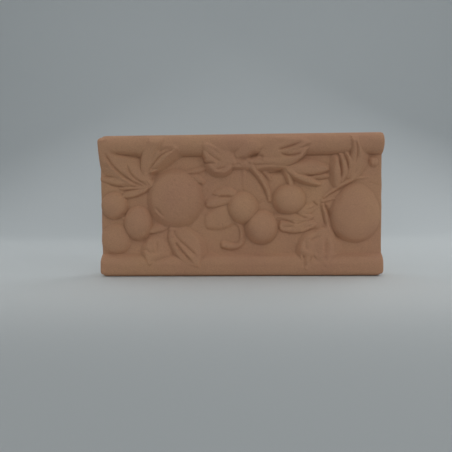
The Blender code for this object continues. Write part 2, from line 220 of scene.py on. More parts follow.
    def crease(self, start, middle, end, wide, deep, fade=(0.2, 0.3)):
        """A groove, or a ridge where deep is negative, fading in and out over parts of its length."""
        start, middle, end = (self.spot(p) for p in (start, middle, end))
        where = self.window((start, middle, end), wide * 3 + 1)
        t, d, _ = along(self.x[where], self.z[where], start, middle, end)
        f = np.clip(t / fade[0], 0, 1) * np.clip((1 - t) / fade[1], 0, 1)
        self.h[where] -= deep * np.exp(-(np.abs(d) / wide) ** (1.5 if deep > 0 else 2)) * f

    def soften(self, rounds):
        """Softens the relief, but not the body's own rolls where they lie bare."""
        covered = np.clip((self.h - self.body) / 0.8, 0, 1)
        covered = covered * covered * (3 - 2 * covered)
        bare = self.body + blurred(self.h - self.body, rounds)
        self.h = covered * blurred(self.h, rounds) + (1 - covered) * bare


def garland(s):
    """The garland, from left to right, lowest forms first within each group."""
    # Left end: a long lobed leaf that climbs over the upper roll, with two narrow leaflets under it
    s.leaf((150.5, 185), (120, 173), (95, 143), 6.2, 12, (1.9, 2.2, 4.6), (2.4, 1.7), 0.6, blunt=0.5, broad=0.15,
           wall=1.2, fillet=0.3)
    s.leaf((146, 186.5), (122, 182), (99, 178.5), 1.9, 2.2, (1.5, 1.6, 0.6), (0.6, 0.4), 0.6, puff=0, blunt=0.3,
           fillet=0.2)
    s.leaf((147, 187), (133, 187.5), (119, 188.5), 0.9, 0.8, (1.6, 1.4, 0.8), (0.4, 0.4), puff=0, wall=2.2, fillet=0.2)
    s.leaf((147, 188.5), (135, 192.5), (123, 196), 1.6, 1.4, (1.5, 1.8, 1.5), (0.4, 0.4), 0.6, puff=0, blunt=0.35,
           fillet=0.2)
    # The folded leaf above the largest fruit: its broad back blade, and the front blade that rolls over
    s.leaf((147, 177), (147, 160), (153, 141), 3.6, 5.0, (1.2, 3.0, 5.2), (0.5, 0.5), 0.55, blunt=0.75, broad=0.3)
    s.leaf((147, 175), (158.5, 158.5), (175, 148.5), 2.6, 1.8, (1.6, 4.3, 5.2), (0.9, 0.3), 0.5, puff=0, broad=0.3,
           wall=1.15, soft=0.8)
    # Three leaves that reach left from the middle, one over the other
    s.leaf((236, 194), (225, 192), (213, 193.5), 2.6, 3.0, (1.1, 1.3, 0.7), (0.3, 0.8), puff=0.1, fillet=0.3)
    s.leaf((237, 210), (225, 215), (213, 220), 5.6, 5.0, (0.9, 1.6, 1.3), (0.6, 0.5), 0.6, puff=0.1, blunt=0.85,
           broad=0.5, wall=0.8, soft=0.6, fillet=0.2)
    s.leaf((236, 199), (220, 200.5), (208, 203.5), 2.6, 2.3, (1.3, 1.7, 1.6), (0.5, 0.5), 0.7, puff=0.1, blunt=0.6,
           wall=2.2, fillet=0.2)
    # The three-bladed leaf at the left end of the main twig, and the pair above its middle
    s.leaf((233, 162), (220, 155), (210.5, 151.5), 4.6, 5.6, (2.8, 3.9, 4.5), (0.5, 0.7), 0.6, puff=0.1, blunt=0.9,
           broad=0.2, soft=1.2)
    s.leaf((218, 152), (211, 148), (206, 145.3), 2.6, 2.0, (4.2, 4.7, 4.9), (0.4, 0.4), puff=0, blunt=0.8, broad=0.8,
           soft=1.2)
    s.leaf((231, 164), (218, 160), (208, 158), 2.4, 2.2, (2.7, 3.6, 3.9), (0.5, 0.4), 0.55, puff=0.1, blunt=0.8,
           soft=1.2, fillet=0.2)
    s.leaf((231, 166), (219, 167), (211, 164.5), 2.8, 3.4, (2.6, 3.3, 3.2), (0.2, 0.5), 0.5, blunt=0.7, wall=1.3,
           fillet=0.2)
    s.leaf((264, 155), (248, 155), (230, 156), 4.2, 4.0, (2.8, 2.6, 2.8), (0.2, 0.2), puff=0, blunt=0.7, broad=0.7,
           wall=1.5, fillet=0.6)
    s.leaf((260, 145), (249, 147.5), (237, 154), 3.4, 3.2, (4.4, 4.9, 3.6), (0.6, 0.5), puff=0, blunt=0.4,
           broad=0.4, wall=1.5, soft=0.6)
    s.leaf((240, 163.5), (250, 160), (257.5, 157.3), 1.9, 2.0, (2.5, 2.6, 2.4), (0.4, 0.4), 0.6, blunt=0.3, wall=1.6,
           fillet=0.3)
    s.leaf((262, 159), (286, 155.5), (308, 147), 5.0, 4.6, (3.2, 4.2, 4.4), (0.4, 1.1), fillet=0.2)
    s.leaf((265, 152), (284, 146.5), (309, 142), 6.0, 3.0, (3.9, 4.9, 5.0), (0.6, 0.3), 0.42, puff=0.1, broad=0.6,
           wall=1.2, soft=0.6)
    # Leaves right of the middle
    s.leaf((306, 175), (317, 175.5), (327, 175.5), 1.4, 1.4, (1.0, 1.1, 1.1), (0.3, 0.3), puff=0, blunt=0.6, wall=2.4,
           fillet=0.2)
    s.leaf((286, 167), (308, 167), (326.5, 168), 4.2, 3.6, (2.4, 2.4, 1.8), (1.6, 0.5), 0.55, blunt=0.35)
    s.leaf((285, 167.5), (301, 176), (317, 184), 1.8, 1.7, (2.9, 3.1, 1.9), (0.5, 0.4), 0.45, puff=0, wall=1.7,
           fillet=0.2)
    # Upright leaves at the right, over the upper roll
    s.leaf((337, 186), (336.5, 173), (337, 161), 1.4, 2.4, (1.4, 3.4, 3.2), (0.3, 1.0), puff=0, blunt=0.5,
           broad=0.6, wall=1.1, soft=0.7, fillet=0.2)
    s.leaf((341.5, 180), (344, 168), (341.5, 157), 1.0, 2.2, (1.4, 3.1, 3.4), (0.2, 1.2), puff=0, blunt=0.4,
           broad=0.5, soft=0.7, fillet=0.2)
    s.leaf((348, 177), (350.5, 165), (346.5, 154), 1.1, 2.0, (1.0, 2.6, 3.4), (0.2, 0.8), puff=0, blunt=0.4,
           broad=0.5, soft=0.7, fillet=0.2)
    s.leaf((351, 180), (357.5, 160), (354.5, 138), 3.5, 3.3, (1.2, 3.2, 5.6), (0.7, 0.9), 0.45, puff=0.3, blunt=0.25)
    # Leaves left of the right-hand fruit, the lowest ones running down over the lower roll
    s.leaf((317, 205), (304, 210), (291, 211), 2.4, 2.4, (0.0, 1.2, 1.0), (0.5, 0.5), puff=0.1, blunt=0.3, wall=1.4,
           fillet=0.2)
    s.leaf((316, 223.5), (300, 226), (283.5, 226.5), 3.0, 3.4, (0.5, 1.7, 1.8), (0.4, 0.4), 0.6, puff=0.1, blunt=0.75,
           fillet=0.2)
    s.leaf((312, 216.5), (297, 217.5), (274, 217), 1.8, 2.4, (0.9, 1.7, 1.0), (0.3, 0.4), puff=0.1, blunt=0.4,
           fillet=0.2)
    s.leaf((319, 234), (307.5, 247), (305.5, 269), 5.0, 3.6, (1.2, 3.2, 4.6), (1.0, 0.6), 0.45, puff=0.1, wall=1.5,
           soft=0.3)
    s.leaf((326, 228), (323, 246), (326.5, 266), 5.8, 6.0, (1.4, 2.9, 4.4), (0.6, 0.4), puff=0.1, wall=1.0, soft=0.5)
    # Leaves under the largest fruit, two of them running down over the lower roll
    s.leaf((160, 237), (155, 248), (148, 264), 8.5, 5.8, (0.4, 2.4, 4.7), (0.9, 0.5), puff=0.1, broad=0.2, wall=1.0)
    s.leaf((168, 226), (157, 229.3), (146, 232), 1.5, 2.4, (0.5, 1.1, 1.3), (0.2, 0.5), puff=0, wall=1.6)
    s.leaf((173, 229), (184, 248), (198, 266), 8.6, 5.2, (1.2, 3.3, 5.0), (1.0, 0.3), puff=0, broad=0.4, wall=0.95,
           soft=0.8)
    # Main twig and its side twigs
    s.leaf((256, 167), (270, 166), (284, 166.5), 0.8, 2.6, (2.8, 3.3, 2.8), (0.3, 2.2), puff=0, fillet=0.2)
    s.twig((219, 165), (238, 165), (262, 165.5), (1.3, 1.5), (1.9, 2.2))
    s.twig((255, 161.5), (272, 163), (290, 168.5), (1.1, 1.0), (3.1, 2.7))
    s.twig((252, 167), (264.5, 184.5), (269.3, 200), (1.3, 1.0), (2.4, 0.9))
    s.twig((243, 169), (243.5, 178), (244, 188), (1.0, 0.9), (0.5, 0.4))
    s.twig((261.5, 167.5), (266.5, 173.5), (270, 179.5), (1.1, 0.8), (1.7, 0.7))
    s.twig((284.5, 168), (288, 176), (291, 186.5), (1.3, 1.0), (2.4, 1.6))
    # Right-hand twig and its forks
    s.twig((324, 196.5), (336, 188), (353, 178.5), (0.8, 0.8), (0.8, 1.5))
    s.twig((353, 178.5), (362, 177), (371, 177), (0.7, 0.5), (1.2, 0.1))
    s.twig((322, 200.8), (328, 199.5), (334, 198.3), (0.6, 0.5), (0.8, 0.4))
    s.twig((322.8, 205), (326.5, 218), (330.5, 233), (0.7, 1.4), (1.4, 1.7))
    s.twig((329, 228), (332.5, 236), (337, 247), (1.4, 0.9), (1.6, 0.5))
    # The tendril under the middle fruits
    s.twig((228, 221.5), (238.2, 224.2), (241.3, 236.5), (0.9, 1.1), (0.5, 1.1))
    s.twig((241.3, 236.5), (237, 245.5), (223.5, 244.8), (1.1, 1.7), (1.0, 1.9))
    # Small calyx left of the main twig
    s.leaf((205, 167.5), (195, 170), (184, 172), 1.3, 0.7, (1.1, 1.4, 1.2), (0.3, 0.5), puff=0, wall=2.4)
    s.leaf((190, 175), (197, 178.5), (202, 181.5), 1.3, 1.5, (1.0, 1.2, 1.1), (0.3, 0.3), puff=0, blunt=0.6, wall=2.0)
    # Fruits, from the largest at the left
    s.fruit((175.3, 197), (14.7, 15.5), 6.0, lean=(-0.5, -0.7))
    s.fruit((113.5, 204.5), (7.5, 7.4), 4.2, lean=(-0.2, -0.7), steep=0.95)
    s.fruit((115.5, 238.2), (8.7, 8.5), 2.6, 0.6, lean=(-0.2, -0.4))
    s.fruit((137, 221.7), (7.8, 9.5), 4.6, 0.4, lean=(0.2, -0.9), steep=0.94)
    s.fruit((243.1, 206.4), (8.5, 8.7), 5.0, 0.6, lean=(-0.9, -1.0), steep=0.93)
    s.fruit((261.8, 226), (8.6, 9.0), 5.2, 0.4, lean=(-0.6, -0.6))
    s.fruit((290, 198), (8.9, 8.1), 5.4, 0.4, lean=(-1.1, -1.0), steep=0.94)
    s.fruit((356.5, 211), (13.3, 16.0), 5.2, 0.8, turn=-6, pear=0.14, lean=(-0.7, -1.0), steep=0.96)
    s.fruit((373.5, 160.5), (2.5, 2.8), 2.0, 0.3, lean=(-0.3, -0.3))
    veins(s)


def veins(s):
    """Veins, folds and lips pressed into the forms."""
    # Lobed leaf: its two long veins, the fold of its lower lobe, and the lines between the leaflets
    s.crease((104, 152), (118.5, 172), (143, 186), 0.65, 1.1, (0.1, 0.1))
    s.crease((104, 156), (115.5, 172.5), (137, 186.5), 0.7, -0.35, (0.2, 0.2))
    s.crease((126.5, 163), (132, 175.5), (148, 185.5), 0.60, 1.0, (0.25, 0.1))
    s.crease((124.5, 167), (129, 177), (140, 185), 0.7, -0.3, (0.3, 0.2))
    s.crease((100, 168), (109, 172.5), (119, 174.5), 1.5, 0.5, (0.2, 0.3))
    s.crease((101, 165), (105, 166.5), (109.5, 168), 0.9, 0.5, (0.3, 0.3))
    s.crease((102, 176.2), (111, 176.2), (120, 178), 0.55, 0.6, (0.2, 0.3))
    s.crease((107, 183), (113, 185.8), (122, 187), 0.7, 0.5, (0.3, 0.3))
    s.crease((121, 184.5), (131, 185.5), (142, 187), 0.5, 0.7, (0.2, 0.2))
    s.crease((145, 180), (147, 182.5), (149, 186), 0.5, 0.5, (0.3, 0.3))
    s.crease((122, 191.5), (130, 189.5), (143, 188.2), 0.5, 0.5, (0.2, 0.2))
    s.crease((132, 181.5), (138, 184.3), (146, 185.8), 0.6, 0.6, (0.2, 0.3))
    s.crease((108, 152), (122, 154.3), (139.5, 154.8), 0.9, 1.2, (0.3, 0.08))
    # Folded leaf
    s.crease((160, 147), (154.5, 153), (150.5, 162), 0.9, 0.5, (0.2, 0.4))
    s.crease((160, 150), (155, 157), (152, 164), 0.8, -0.35, (0.3, 0.3))
    s.crease((173, 149.5), (159, 156), (146.5, 174), 0.65, 1.2, (0.1, 0.15))
    s.crease((150, 168.3), (154, 168.3), (158.5, 167), 0.55, 0.8, (0.3, 0.3))
    s.crease((148, 171.5), (154, 170.5), (159, 167.5), 0.6, -0.6, (0.3, 0.3))
    s.crease((146.5, 173.5), (152, 174.5), (158, 172), 0.9, 0.9, (0.3, 0.3))
    s.crease((160, 146.5), (169, 145.5), (179, 148), 0.9, -0.4, (0.3, 0.2))
    s.crease((164, 151), (170, 149), (178, 150), 0.6, 0.5, (0.3, 0.2))
    # Lower edge of the leaf over the tendril
    s.crease((204, 228), (209.5, 229), (217, 228.5), 0.7, 0.6, (0.3, 0.3))
    # Lip at the lower left of the largest fruit, and the bud beside the fruit under it
    s.crease((154.5, 206), (159, 212), (164.5, 216.5), 0.6, 0.6, (0.3, 0.3))
    s.crease((152, 207), (156.5, 213), (163, 218.5), 0.55, -0.4, (0.3, 0.3))
    s.crease((121.5, 217.5), (123, 217.8), (124.5, 218), 0.8, -0.7, (0.3, 0.3))
    s.crease((119, 213), (122, 213.8), (125.5, 213.5), 0.6, 0.5, (0.3, 0.3))
    # Leaves under the largest fruit
    s.crease((155, 240), (156.5, 247), (156, 254), 0.7, 0.5, (0.3, 0.3))
    s.crease((153, 238), (153.5, 245), (153, 251), 0.8, -0.3, (0.3, 0.3))
    s.crease((145, 251.3), (151, 251.8), (156, 253), 0.6, 0.5, (0.2, 0.3))
    s.crease((141, 249.5), (145, 250), (149, 250.3), 0.8, 0.6, (0.3, 0.3))
    s.crease((143.5, 239), (144.5, 245), (143.5, 252), 1.3, 0.5, (0.3, 0.3))
    s.crease((148, 261.5), (158, 259.3), (168, 255.5), 1.1, 0.4, (0.3, 0.3))
    s.crease((146, 234.8), (154, 233), (162, 230.6), 0.6, 0.7, (0.2, 0.3))
    s.crease((149.5, 252), (150.5, 252), (151.5, 252), 0.7, -0.4, (0.3, 0.3))
    s.crease((174.5, 241.5), (183, 253), (193, 263.5), 0.6, 1.1, (0.1, 0.3))
    s.crease((177, 238.5), (188, 248), (199, 258.5), 0.65, 1.0, (0.1, 0.3))
    s.crease((177, 242), (186, 252), (194, 261), 0.6, -0.45, (0.2, 0.3))
    s.crease((173, 229), (174.5, 234), (178, 240), 1.1, 0.9, (0.3, 0.1))
    s.crease((172, 240), (176, 247), (182, 255), 0.7, -0.3, (0.2, 0.3))
    # Three-bladed leaf at the left end of the main twig
    s.crease((206, 151), (213.5, 156.8), (221, 161), 0.6, 0.7, (0.2, 0.2))
    s.crease((202, 161.5), (208.5, 162.3), (215, 162), 0.55, 0.7, (0.15, 0.3))
    s.crease((214, 168.5), (219.5, 168), (226, 165), 0.6, 0.8, (0.3, 0.3))
    s.crease((213, 171.5), (219, 170.5), (225, 168), 0.7, -0.4, (0.3, 0.3))
    s.crease((209, 144.5), (215, 147.5), (220, 151), 0.7, -0.2, (0.3, 0.3))
    s.crease((211, 148), (216, 151), (221, 154.5), 0.6, 0.25, (0.3, 0.3))
    s.crease((220, 146), (225, 148.5), (230, 154), 0.8, -0.2, (0.3, 0.3))
    s.crease((205, 166), (209, 169), (214, 172), 1.2, 0.5, (0.3, 0.3))
    s.crease((233, 147), (234, 153), (236, 157), 1.8, 0.25, (0.3, 0.3))
    # Leaves above the main twig, and the lines under them
    s.crease((236.5, 159), (241.5, 159.2), (247, 157.8), 0.8, 0.6, (0.3, 0.2))
    s.crease((245.5, 156.8), (252.5, 154.2), (260, 152.6), 1.2, 2.9, (0.35, 0.35))
    s.crease((245.5, 162.8), (248, 162.5), (250.5, 162), 0.6, 0.6, (0.3, 0.3))
    s.crease((215, 197.8), (223, 196.2), (231.5, 196.6), 0.6, 0.9, (0.3, 0.2))
    s.crease((250, 170.5), (260.5, 184), (265.5, 200), 0.7, 0.6, (0.1, 0.2))
    s.crease((260.5, 147), (260.5, 153), (260.5, 159), 2.0, 0.5, (0.3, 0.3))
    s.crease((277, 149.3), (289, 145.8), (303, 140.5), 0.6, 1.3, (0.2, 0.3))
    s.crease((279, 151.7), (291, 154.5), (303, 150.5), 0.6, 1.3, (0.2, 0.2))
    s.crease((255, 167.8), (270, 169.6), (287, 169.3), 1.5, 1.6, (0.25, 0.25))
    s.crease((257, 203), (261, 201.5), (266, 199), 1.4, 0.5, (0.3, 0.3))
    s.crease((276, 143.5), (281, 141), (286, 138.5), 0.7, 0.2, (0.3, 0.3))
    s.crease((293, 169.5), (307, 174.8), (327, 171.5), 0.6, 0.9, (0.2, 0.2))
    s.crease((313, 178), (320, 178.5), (328, 178), 0.6, 0.5, (0.2, 0.2))
    # Upright leaves at the right
    s.crease((338, 158), (340.7, 168), (340.5, 177.5), 0.6, 0.9, (0.15, 0.2))
    s.crease((343.5, 153), (346.7, 159.5), (347.5, 169), 0.55, 0.8, (0.2, 0.2))
    s.crease((327, 164), (329.5, 174), (328, 185), 1.0, 0.5, (0.2, 0.3))
    s.crease((355.3, 140), (357.3, 151), (353.8, 165), 0.6, 0.9, (0.15, 0.3))
    s.crease((352, 171), (356.5, 170.5), (360, 167), 1.1, 0.4, (0.3, 0.3))
    # Leaves left of the right-hand fruit
    s.crease((294, 212), (301, 215.8), (309, 218.5), 0.6, 0.9, (0.2, 0.3))
    s.crease((274, 217.5), (285, 219.8), (296, 224), 0.55, 0.9, (0.1, 0.2))
    s.crease((295, 224), (300, 222.5), (306, 220), 0.55, 0.6, (0.2, 0.4))
    s.crease((284, 222.5), (289, 223.5), (294, 225), 0.6, -0.3, (0.3, 0.3))
    s.crease((280, 226), (287, 226.3), (294, 225), 0.9, 0.6, (0.3, 0.2))
    s.crease((300, 230), (306, 226.5), (312, 224.5), 0.9, 0.6, (0.3, 0.3))
    s.crease((306, 230), (313, 229), (320, 227.8), 0.6, 0.6, (0.2, 0.2))
    s.crease((308, 241), (314, 238), (322, 234), 0.9, 0.7, (0.3, 0.3))
    s.crease((299, 252), (302, 255), (305, 258), 1.2, 0.7, (0.3, 0.3))
    s.crease((307, 237), (305.5, 244), (307.5, 250.5), 1.4, 0.8, (0.3, 0.2))
    s.crease((304.5, 253), (307, 252.2), (309.5, 251), 0.8, -0.35, (0.3, 0.3))
    s.crease((310.5, 254), (310.5, 259), (310.5, 265), 0.6, 0.4, (0.3, 0.3))
    s.crease((302.5, 254), (304, 260), (304, 268), 1.0, 1.0, (0.25, 0.2))
    s.crease((326.3, 236), (326.5, 249), (325, 262), 1.1, 1.0, (0.3, 0.3))
    s.crease((322.5, 239), (322.5, 248), (321.5, 258), 0.9, -0.5, (0.3, 0.3))
    s.crease((317, 241), (316.5, 249), (317, 257), 0.8, 0.3, (0.3, 0.3))
    s.crease((333, 241), (334.5, 247), (332, 254), 0.8, 0.4, (0.3, 0.3))
    # Calyxes, twig undersides and the soft flank of the right-hand fruit
    s.crease((312.5, 200.5), (314.5, 202.8), (317.5, 206), 0.55, 0.9, (0.2, 0.2))
    s.crease((305, 207.5), (310, 207.8), (315, 204.5), 0.6, 0.6, (0.3, 0.2))
    s.crease((320.5, 208), (322.8, 217), (323.8, 226), 0.5, 0.3, (0.2, 0.3))
    s.crease((324, 203.5), (327.3, 210.5), (330, 218), 0.7, 1.2, (0.15, 0.3))
    s.crease((329, 214), (332.3, 230), (345, 240.5), 0.8, 0.7, (0.2, 0.2))
    s.crease((322, 199), (337, 189.5), (354, 180.8), 0.55, 0.7, (0.1, 0.3))
    s.crease((366, 180.3), (372, 182.7), (379, 184.5), 0.8, 0.4, (0.3, 0.3))
    s.crease((322, 202), (326, 202), (330, 201), 0.6, 0.35, (0.3, 0.3))
    s.crease((330, 201), (333, 200), (337, 200.5), 0.5, 0.3, (0.3, 0.3))
    s.crease((341, 187), (339, 196), (336, 207), 0.9, 0.5, (0.3, 0.3))
    s.crease((197.5, 182.5), (200, 184), (204, 183.5), 0.5, 0.3, (0.3, 0.3))
    s.crease((204.5, 168), (205, 173), (205, 179), 0.8, 0.3, (0.3, 0.3))


def clouds(x, z, size, seed):
    """Smooth random heights from -1 to 1 over cells of the given size."""
    spots = np.random.RandomState(seed).uniform(-1, 1, (int(400 / size) + 4, int(400 / size) + 4))
    u, v = (x + 200) / size, (z + 200) / size
    i, j = np.floor(u).astype(int), np.floor(v).astype(int)
    fu, fv = u - i, v - j
    fu, fv = fu * fu * (3 - 2 * fu), fv * fv * (3 - 2 * fv)
    low = spots[j, i] * (1 - fu) + spots[j, i + 1] * fu
    high = spots[j + 1, i] * (1 - fu) + spots[j + 1, i + 1] * fu
    return low * (1 - fv) + high * fv


def wear(s):
    """An uneven skin with small pits, a dimpled skin on the largest fruit, and softened ends."""
    s.h += 0.05 * clouds(s.x, s.z, 9.0, 11) + 0.03 * clouds(s.x, s.z, 3.1, 12) + 0.016 * clouds(s.x, s.z, 1.2, 13)
    pits = np.random.RandomState(21)
    for _ in range(170):
        c = (pits.uniform(-LENGTH / 2, LENGTH / 2), pits.uniform(-HEIGHT / 2, HEIGHT / 2))
        r, deep = pits.uniform(0.35, 0.8), pits.uniform(0.05, 0.16)
        where = s.window((c,), 2 * r)
        s.h[where] -= deep * np.exp(-((s.x[where] - c[0]) ** 2 + (s.z[where] - c[1]) ** 2) / r ** 2)
    for _ in range(130):
        a, far = pits.uniform(0, 2 * math.pi), 13.0 * math.sqrt(pits.uniform(0, 1))
        c = (-26.5 + far * math.cos(a), 5.0 + far * math.sin(a))
        r = pits.uniform(0.4, 0.9)
        where = s.window((c,), 2 * r)
        s.h[where] -= 0.14 * np.exp(-((s.x[where] - c[0]) ** 2 + (s.z[where] - c[1]) ** 2) / r ** 2)
    r = ARRIS * (1 + 0.5 * clouds(s.x, s.z, 6.0, 14))
    past = np.clip(np.abs(s.x) - (LENGTH / 2 - r), 0, r)
    s.h -= r - np.sqrt(np.maximum(r * r - past * past, 0))


def relief_sheet():
    """Heights over the whole face, with closer lines where the rolls and the ends turn over."""
    across, flat = LENGTH / 2, HEIGHT / 2 - ROLL_RADIUS
    inner = across - 1.0
    ends = across - np.array([0.75, 0.55, 0.38, 0.24, 0.13, 0.05, 0.0])
    xs = np.concatenate((-ends[::-1], np.linspace(-inner, inner, int(round(2 * inner / STEP)) + 1), ends))
    turned = flat + ROLL_RADIUS * np.sin(np.radians(np.linspace(0, 90, 33)[1:]))
    zs = np.concatenate((-turned[::-1], np.linspace(-flat, flat, int(round(2 * flat / STEP)) + 1), turned))
    sheet = Sheet(xs, zs)
    garland(sheet)
    sheet.soften(max(1, int(round(2 * (SOFTEN_MM / STEP) ** 2))))
    wear(sheet)
    return sheet


def face_mesh(sheet):
    """The moulded face as an open grid, thinned where it is flat."""
    nx, nz = len(sheet.xs), len(sheet.zs)
    x, z = np.meshgrid(sheet.xs, sheet.zs)
    places = np.stack((x, -(FIELD + sheet.h), z), -1).reshape(-1, 3) * 0.001
    j, i = np.meshgrid(np.arange(nz - 1), np.arange(nx - 1), indexing="ij")
    low = (j * nx + i).ravel()
    quads = np.stack((low, low + 1, low + nx + 1, low + nx), -1)
    mesh = bpy.data.meshes.new("moulded_face")
    mesh.vertices.add(len(places))
    mesh.vertices.foreach_set("co", places.astype(np.float32).ravel())
    mesh.loops.add(quads.size)
    mesh.loops.foreach_set("vertex_index", quads.astype(np.int32).ravel())
    mesh.polygons.add(len(quads))
    mesh.polygons.foreach_set("loop_start", np.arange(0, quads.size, 4, dtype=np.int32))
    mesh.update(calc_edges=True)
    face = bpy.data.objects.new("moulded_face", mesh)
    bpy.context.scene.collection.objects.link(face)
    thin = face.modifiers.new("thin", "DECIMATE")
    thin.ratio = FRONT_TRIANGLES / (2.0 * len(quads))
    bpy.context.view_layer.update()
    bm = bmesh.new()
    bm.from_object(face, bpy.context.evaluated_depsgraph_get())
    bpy.data.objects.remove(face, do_unlink=True)
    bpy.data.meshes.remove(mesh, do_unlink=True)
    return bm


def close_body(bm):
    """Squares the rim, draws it back with a small arris at the back edge, and closes the back."""
    rim = [e for e in bm.edges if len(e.link_faces) == 1]
    half_length, half_height, near = LENGTH * 0.0005, HEIGHT * 0.0005, 0.0003
    for v in {v for e in rim for v in e.verts}:
        if abs(abs(v.co.x) - half_length) < near:
            v.co.x = math.copysign(half_length, v.co.x)
        if abs(abs(v.co.z) - half_height) < near and v.co.y > -(FIELD + ROLL_RISE - ROLL_RADIUS + 0.3) * 0.001:
            v.co.z = math.copysign(half_height, v.co.z)
    for y, inset in ((-0.0004, 0.0), (-0.00012, 0.00012), (0.0, 0.0004)):
        drawn = bmesh.ops.extrude_edge_only(bm, edges=rim)["geom"]
        rim = [g for g in drawn if isinstance(g, bmesh.types.BMEdge)]
        for v in {v for e in rim for v in e.verts}:
            v.co.y = y
            if abs(v.co.x) > half_length - 0.0005:
                v.co.x = math.copysign(half_length - inset, v.co.x)
            if abs(v.co.z) > half_height - 0.0005:
                v.co.z = math.copysign(half_height - inset, v.co.z)
    bmesh.ops.contextual_create(bm, geom=rim)
    bmesh.ops.recalc_face_normals(bm, faces=bm.faces[:])


def round_corners(bm):
    """Rounds the four corners of the tile's outline, through its whole thickness."""
    for v in bm.verts:
        r = CORNERS[(1 if v.co.x > 0 else -1, 1 if v.co.z > 0 else -1)] * 0.001
        a, b = abs(v.co.x) - LENGTH * 0.0005 + r, abs(v.co.z) - HEIGHT * 0.0005 + r
        if a > 0 and b > 0:
            k = 1 - max(a, b) / math.hypot(a, b)
            v.co.x -= math.copysign(a * k, v.co.x)
            v.co.z -= math.copysign(b * k, v.co.z)


def hollows(sheet):
    """How far each place lies below what is around it: 1 deep in a fold, 0 on open ground, -1 on a sharp crest. The
    clay's colour paints shade into the folds and a highlight onto the crests from it.
    """
    form = sheet.h - np.where(sheet.z < 0, sheet.body, 0)
    around = 0.5 * (blurred(form, int(2 * (0.9 / STEP) ** 2)) + blurred(form, int(2 * (0.45 / STEP) ** 2)))
    return np.clip((around - form) / 0.5, -1, 1)


def mark_hollows(mesh, sheet):
    """Keeps the hollows with the mesh, for the clay's colour, which paints shade in the folds and a highlight on the
    crests.
    """
    low = hollows(sheet)
    places = np.empty(len(mesh.vertices) * 3)
    mesh.vertices.foreach_get("co", places)
    x, y, z = places.reshape(-1, 3).T * 1000
    i = np.clip(np.searchsorted(sheet.xs, x), 1, len(sheet.xs) - 1)
    j = np.clip(np.searchsorted(sheet.zs, z), 1, len(sheet.zs) - 1)
    fx = np.clip((x - sheet.xs[i - 1]) / (sheet.xs[i] - sheet.xs[i - 1]), 0, 1)
    fz = np.clip((z - sheet.zs[j - 1]) / (sheet.zs[j] - sheet.zs[j - 1]), 0, 1)
    value = ((low[j - 1, i - 1] * (1 - fx) + low[j - 1, i] * fx) * (1 - fz)
             + (low[j, i - 1] * (1 - fx) + low[j, i] * fx) * fz)
    value = np.where(y < -(FIELD + ROLL_RISE - ROLL_RADIUS), value, 0)
    mesh.attributes.new("hollow", "FLOAT", "POINT").data.foreach_set("value", value.astype(np.float32))


def groove_cutter():
    """The bars that cut the shallow keying grooves along the back."""
    bm = bmesh.new()
    reach = LENGTH / 2 + 3
    for z in GROOVE_PLACES:
        ends = []
        for x in (-reach, reach):
            wide = GROOVE_MOUTH / 2 + 0.5 * (GROOVE_MOUTH - GROOVE_FLOOR) / GROOVE_DEPTH
            corners = ((1.0, z - wide), (1.0, z + wide), (-GROOVE_DEPTH, z + GROOVE_FLOOR / 2),
                       (-GROOVE_DEPTH, z - GROOVE_FLOOR / 2))
            ends.append([bm.verts.new((x * 0.001, y * 0.001, c * 0.001)) for y, c in corners])
        for k in range(4):
            n = (k + 1) % 4
            bm.faces.new((ends[0][k], ends[0][n], ends[1][n], ends[1][k]))
        bm.faces.new(ends[0][::-1])
        bm.faces.new(ends[1])
    bmesh.ops.recalc_face_normals(bm, faces=bm.faces[:])
    mesh = bpy.data.meshes.new("keying_grooves")
    bm.to_mesh(mesh)
    bm.free()
    cutter = bpy.data.objects.new("keying_grooves", mesh)
    bpy.context.scene.collection.objects.link(cutter)
    return cutter


def tile_piece():
    sheet = relief_sheet()
    bm = face_mesh(sheet)
    close_body(bm)
    round_corners(bm)
    whole = bpy.data.meshes.new("tile_closed")
    bm.to_mesh(whole)
    bm.free()
    tile = bpy.data.objects.new("relief_tile", whole)
    bpy.context.scene.collection.objects.link(tile)
    cutter = groove_cutter()
    cut = tile.modifiers.new("keying_grooves", "BOOLEAN")
    cut.operation = "DIFFERENCE"
    cut.solver = "EXACT"
    cut.object = cutter
    bpy.context.view_layer.update()
    done = bpy.data.meshes.new_from_object(tile.evaluated_get(bpy.context.evaluated_depsgraph_get()))
    tile.modifiers.clear()
    tile.data = done
    bpy.data.meshes.remove(whole, do_unlink=True)
    bpy.data.objects.remove(cutter, do_unlink=True)
    done.name = "relief_tile"
    mark_hollows(done, sheet)
    done.shade_smooth()
    done.set_sharp_from_angle(angle=math.radians(42))
    return tile


